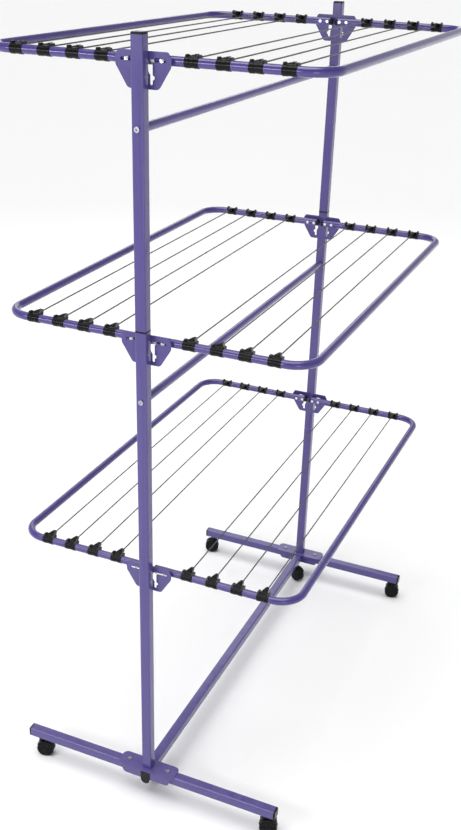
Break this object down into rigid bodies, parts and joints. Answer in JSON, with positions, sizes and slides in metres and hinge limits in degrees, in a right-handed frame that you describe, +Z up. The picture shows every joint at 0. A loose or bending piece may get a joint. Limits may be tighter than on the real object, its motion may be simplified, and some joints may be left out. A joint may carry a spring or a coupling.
{
  "type": "clothes drying rack",
  "caption": "Free-standing clothes drying rack: two posts on feet with castors carry stacked tiers of line frames that fold up against the posts.",
  "frame": {"origin": "on the floor, midway between the two posts", "axes": "+Z up, +Y from the front post to the rear post along the lines, +X to the right along the feet"},
  "size_m": [0.641, 1.042, 1.613],
  "materials": {
    "powder_coat": "satin purple powder coat",
    "black_plastic": "moulded, slightly worn",
    "zinc": "bright zinc plate",
    "line_cord": "plastic-coated line",
    "castor_plastic": "moulded nylon",
    "castor_wheel": "hard tread, scuffed"
  },
  "bodies": {
    "frame": {"front_post_lower": "powder_coat", "front_post_upper": "powder_coat", "rear_post_lower": "powder_coat", "rear_post_upper": "powder_coat", "tube_end_caps": "black_plastic", "post_joint_sleeves": "black_plastic", "upper_crossbar": "powder_coat", "middle_crossbar": "powder_coat", "base_bar": "powder_coat", "frame_screws": "zinc", "front_foot": "powder_coat", "rear_foot": "powder_coat", "front_saddle": "powder_coat", "rear_saddle": "powder_coat", "saddle_lock_tabs": "black_plastic", "front_brackets": "powder_coat", "rear_brackets": "powder_coat"},
    "upper_left_wing": {"upper_left_tube": "powder_coat", "upper_left_plugs": "black_plastic", "upper_left_pins": "zinc", "upper_left_clips": "black_plastic", "upper_left_lines": "line_cord"},
    "upper_right_wing": {"upper_right_tube": "powder_coat", "upper_right_plugs": "black_plastic", "upper_right_pins": "zinc", "upper_right_clips": "black_plastic", "upper_right_lines": "line_cord"},
    "middle_left_wing": {"middle_left_tube": "powder_coat", "middle_left_plugs": "black_plastic", "middle_left_pins": "zinc", "middle_left_clips": "black_plastic", "middle_left_lines": "line_cord"},
    "middle_right_wing": {"middle_right_tube": "powder_coat", "middle_right_plugs": "black_plastic", "middle_right_pins": "zinc", "middle_right_clips": "black_plastic", "middle_right_lines": "line_cord"},
    "lower_left_wing": {"lower_left_tube": "powder_coat", "lower_left_plugs": "black_plastic", "lower_left_pins": "zinc", "lower_left_clips": "black_plastic", "lower_left_lines": "line_cord"},
    "lower_right_wing": {"lower_right_tube": "powder_coat", "lower_right_plugs": "black_plastic", "lower_right_pins": "zinc", "lower_right_clips": "black_plastic", "lower_right_lines": "line_cord"},
    "front_left_swivel": {"front_left_castor": "castor_plastic"},
    "front_left_wheel": {"front_left_wheels": "castor_wheel"},
    "front_right_swivel": {"front_right_castor": "castor_plastic"},
    "front_right_wheel": {"front_right_wheels": "castor_wheel"},
    "front_centre_swivel": {"front_centre_castor": "castor_plastic"},
    "front_centre_wheel": {"front_centre_wheels": "castor_wheel"},
    "rear_left_swivel": {"rear_left_castor": "castor_plastic"},
    "rear_left_wheel": {"rear_left_wheels": "castor_wheel"},
    "rear_right_swivel": {"rear_right_castor": "castor_plastic"},
    "rear_right_wheel": {"rear_right_wheels": "castor_wheel"},
    "rear_centre_swivel": {"rear_centre_castor": "castor_plastic"},
    "rear_centre_wheel": {"rear_centre_wheels": "castor_wheel"}
  },
  "joints": [
    {"name": "upper_left_fold", "type": "hinge", "parent": "frame", "child": "upper_left_wing", "pos_m": [-0.0255, 0, 1.5595], "axis": [0, 1, 0], "range_deg": [0, 90]},
    {"name": "upper_right_fold", "type": "hinge", "parent": "frame", "child": "upper_right_wing", "pos_m": [0.0255, 0, 1.5595], "axis": [0, -1, 0], "range_deg": [0, 90]},
    {"name": "middle_left_fold", "type": "hinge", "parent": "frame", "child": "middle_left_wing", "pos_m": [-0.0255, 0, 1.0825], "axis": [0, 1, 0], "range_deg": [0, 90]},
    {"name": "middle_right_fold", "type": "hinge", "parent": "frame", "child": "middle_right_wing", "pos_m": [0.0255, 0, 1.0825], "axis": [0, -1, 0], "range_deg": [0, 90]},
    {"name": "lower_left_fold", "type": "hinge", "parent": "frame", "child": "lower_left_wing", "pos_m": [-0.0255, 0, 0.5855], "axis": [0, 1, 0], "range_deg": [0, 90]},
    {"name": "lower_right_fold", "type": "hinge", "parent": "frame", "child": "lower_right_wing", "pos_m": [0.0255, 0, 0.5855], "axis": [0, -1, 0], "range_deg": [0, 90]},
    {"name": "front_left_turn", "type": "hinge", "parent": "frame", "child": "front_left_swivel", "pos_m": [-0.285, -0.5, 0.053], "axis": [0, 0, 1], "continuous": true},
    {"name": "front_left_roll", "type": "hinge", "parent": "front_left_swivel", "child": "front_left_wheel", "pos_m": [-0.27631, -0.49767, 0.02], "axis": [-0.2588, 0.9659, 0], "continuous": true},
    {"name": "front_right_turn", "type": "hinge", "parent": "frame", "child": "front_right_swivel", "pos_m": [0.285, -0.5, 0.053], "axis": [0, 0, 1], "continuous": true},
    {"name": "front_right_roll", "type": "hinge", "parent": "front_right_swivel", "child": "front_right_wheel", "pos_m": [0.29346, -0.49692, 0.02], "axis": [-0.342, 0.9397, 0], "continuous": true},
    {"name": "front_centre_turn", "type": "hinge", "parent": "frame", "child": "front_centre_swivel", "pos_m": [0, -0.467, 0.053], "axis": [0, 0, 1], "continuous": true},
    {"name": "front_centre_roll", "type": "hinge", "parent": "front_centre_swivel", "child": "front_centre_wheel", "pos_m": [0, -0.458, 0.02], "axis": [-1, 0, 0], "continuous": true},
    {"name": "rear_left_turn", "type": "hinge", "parent": "frame", "child": "rear_left_swivel", "pos_m": [-0.285, 0.5, 0.053], "axis": [0, 0, 1], "continuous": true},
    {"name": "rear_left_roll", "type": "hinge", "parent": "rear_left_swivel", "child": "rear_left_wheel", "pos_m": [-0.29346, 0.49692, 0.02], "axis": [0.342, -0.9397, 0], "continuous": true},
    {"name": "rear_right_turn", "type": "hinge", "parent": "frame", "child": "rear_right_swivel", "pos_m": [0.285, 0.5, 0.053], "axis": [0, 0, 1], "continuous": true},
    {"name": "rear_right_roll", "type": "hinge", "parent": "rear_right_swivel", "child": "rear_right_wheel", "pos_m": [0.29369, 0.50233, 0.02], "axis": [-0.2588, 0.9659, 0], "continuous": true},
    {"name": "rear_centre_turn", "type": "hinge", "parent": "frame", "child": "rear_centre_swivel", "pos_m": [0, 0.467, 0.053], "axis": [0, 0, 1], "continuous": true},
    {"name": "rear_centre_roll", "type": "hinge", "parent": "rear_centre_swivel", "child": "rear_centre_wheel", "pos_m": [0.00779, 0.4625, 0.02], "axis": [0.5, 0.866, 0], "continuous": true}
  ]
}
